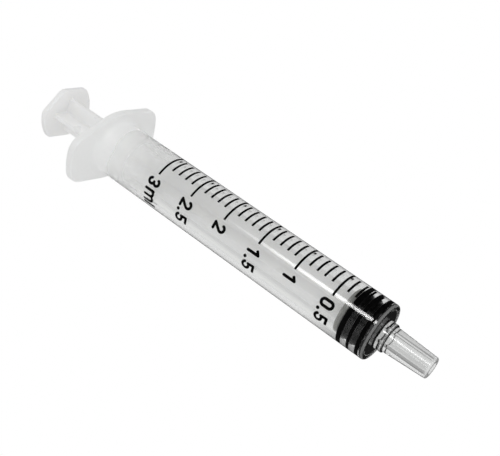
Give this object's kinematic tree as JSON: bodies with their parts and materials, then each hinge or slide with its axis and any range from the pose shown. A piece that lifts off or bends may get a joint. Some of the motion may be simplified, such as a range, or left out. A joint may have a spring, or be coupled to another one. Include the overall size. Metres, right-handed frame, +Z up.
{
  "type": "oral syringe",
  "caption": "Clear oral syringe with a winged finger flange, a tapered nozzle, a printed volume scale and a milky cross-ribbed plunger with a black rubber piston.",
  "frame": {"origin": "on the barrel's axis, in the plane of the finger flange's front face", "axes": "+X along the barrel towards the nozzle, Y along the long axis of the finger flange, +Z up with the syringe lying on the flat side of the flange and the scale facing up and towards -Y"},
  "size_m": [0.0873, 0.022, 0.0138],
  "materials": {
    "clear_plastic": "clear, glossy polypropylene",
    "milky_plastic": "translucent milky polypropylene, satin",
    "black_rubber": "smooth, oiled",
    "black_ink": "printed ink, matt"
  },
  "bodies": {
    "barrel": {"barrel": "clear_plastic", "scale_major_lines": "black_ink", "scale_minor_lines": "black_ink", "scale_numerals": "black_ink", "unit_mark": "black_ink"},
    "piston": {"piston": "black_rubber"},
    "plunger": {"plunger_rod": "milky_plastic"}
  },
  "joints": [
    {"name": "plunger_slide", "type": "slide", "parent": "barrel", "child": "piston", "axis": [-1, 0, 0], "range_m": [0, 0.0554]},
    {"name": "rod_swivel", "type": "hinge", "parent": "piston", "child": "plunger", "pos_m": [0.0571, 0, 0], "axis": [1, 0, 0], "continuous": true}
  ]
}
